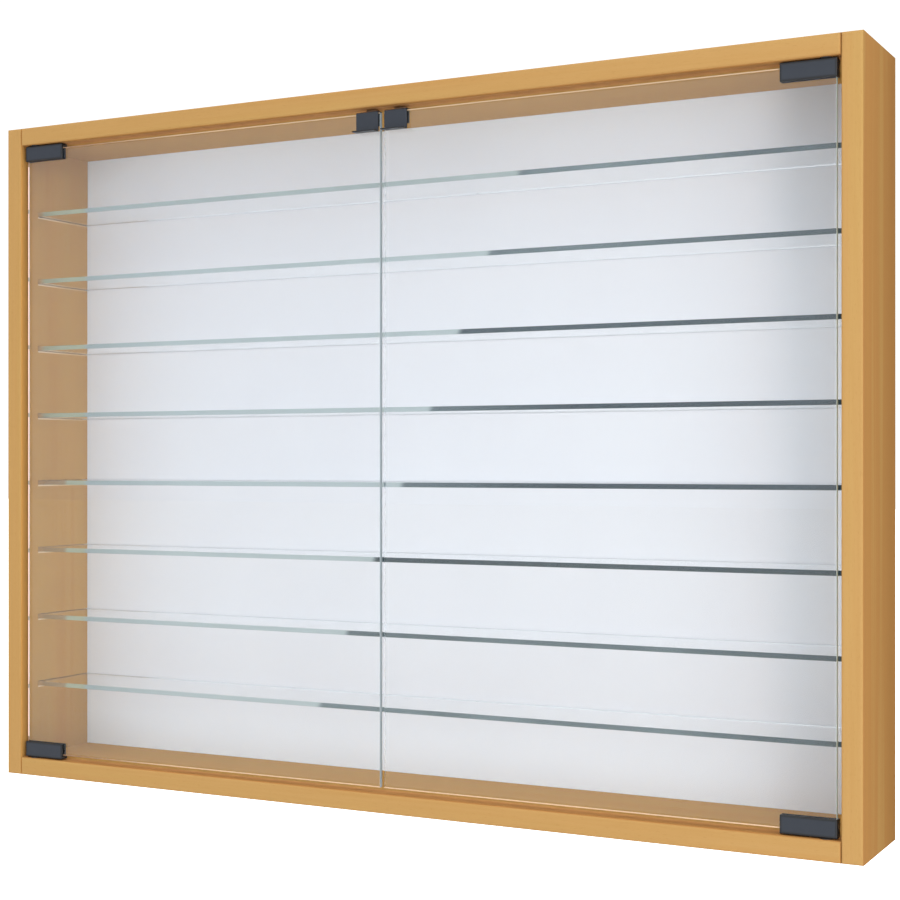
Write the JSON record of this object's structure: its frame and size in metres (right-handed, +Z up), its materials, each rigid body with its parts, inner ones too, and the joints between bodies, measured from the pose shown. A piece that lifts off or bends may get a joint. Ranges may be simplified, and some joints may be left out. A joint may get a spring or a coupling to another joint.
{
  "type": "wall display cabinet",
  "caption": "Shallow wall display cabinet: wood-finish case with a white back, glass shelves in grooved sides and inset glass doors on corner pivots.",
  "frame": {"origin": "middle of the back on the wall plane: half the width, half the height, rear face of the back panel", "axes": "+X to the right seen from the front, +Y into the wall, +Z up; the doors face -Y"},
  "size_m": [0.8, 0.1033, 0.6],
  "materials": {
    "wood_decor": "satin beech-coloured decor on particleboard",
    "white_board": "white lacquered hardboard",
    "clear_glass": "clear float glass with ground edges",
    "slate_metal": "dark slate coating, satin",
    "bright_steel": "zinc-plated steel",
    "cast_zinc": "die-cast zinc, of nearly the weight of cast iron",
    "dark_nylon": "moulded nylon",
    "brown_plastic": "moulded brown plastic",
    "plain_beech": "raw turned beech"
  },
  "bodies": {
    "case": {"left_side_panel": "wood_decor", "right_side_panel": "wood_decor", "top_board": "wood_decor", "bottom_board": "wood_decor", "back_panel": "white_board", "glass_shelf_1": "clear_glass", "glass_shelf_2": "clear_glass", "glass_shelf_3": "clear_glass", "glass_shelf_4": "clear_glass", "glass_shelf_5": "clear_glass", "glass_shelf_6": "clear_glass", "glass_shelf_7": "clear_glass", "glass_shelf_8": "clear_glass", "top_left_cam_lock": "cast_zinc", "top_right_cam_lock": "cast_zinc", "bottom_left_cam_lock": "cast_zinc", "bottom_right_cam_lock": "cast_zinc", "top_left_cam_bolt": "bright_steel", "top_right_cam_bolt": "bright_steel", "bottom_left_cam_bolt": "bright_steel", "bottom_right_cam_bolt": "bright_steel", "top_left_dowel": "plain_beech", "top_right_dowel": "plain_beech", "bottom_left_dowel": "plain_beech", "bottom_right_dowel": "plain_beech", "left_top_pivot_bush": "dark_nylon", "left_bottom_pivot_bush": "dark_nylon", "right_top_pivot_bush": "dark_nylon", "right_bottom_pivot_bush": "dark_nylon", "left_magnet_catch": "brown_plastic", "right_magnet_catch": "brown_plastic", "left_catch_screw": "bright_steel", "right_catch_screw": "bright_steel", "left_hanger_plate": "bright_steel", "right_hanger_plate": "bright_steel", "left_hanger_screw_lower": "bright_steel", "left_hanger_screw_upper": "bright_steel", "right_hanger_screw_lower": "bright_steel", "right_hanger_screw_upper": "bright_steel"},
    "left_door": {"left_door_glass": "clear_glass", "left_door_grip": "slate_metal", "left_top_hinge_clip": "slate_metal", "left_bottom_hinge_clip": "slate_metal", "left_top_pivot_pin": "bright_steel", "left_bottom_pivot_pin": "bright_steel", "left_top_clamp_screw_1": "bright_steel", "left_top_clamp_screw_2": "bright_steel", "left_bottom_clamp_screw_1": "bright_steel", "left_bottom_clamp_screw_2": "bright_steel"},
    "right_door": {"right_door_glass": "clear_glass", "right_door_grip": "slate_metal", "right_top_hinge_clip": "slate_metal", "right_bottom_hinge_clip": "slate_metal", "right_top_pivot_pin": "bright_steel", "right_bottom_pivot_pin": "bright_steel", "right_top_clamp_screw_1": "bright_steel", "right_top_clamp_screw_2": "bright_steel", "right_bottom_clamp_screw_1": "bright_steel", "right_bottom_clamp_screw_2": "bright_steel"}
  },
  "joints": [
    {"name": "left_door_hinge", "type": "hinge", "parent": "case", "child": "left_door", "pos_m": [-0.3715, -0.093, 0], "axis": [0, 0, -1], "range_deg": [0, 110]},
    {"name": "right_door_hinge", "type": "hinge", "parent": "case", "child": "right_door", "pos_m": [0.3715, -0.093, 0], "axis": [0, 0, 1], "range_deg": [0, 110]}
  ]
}
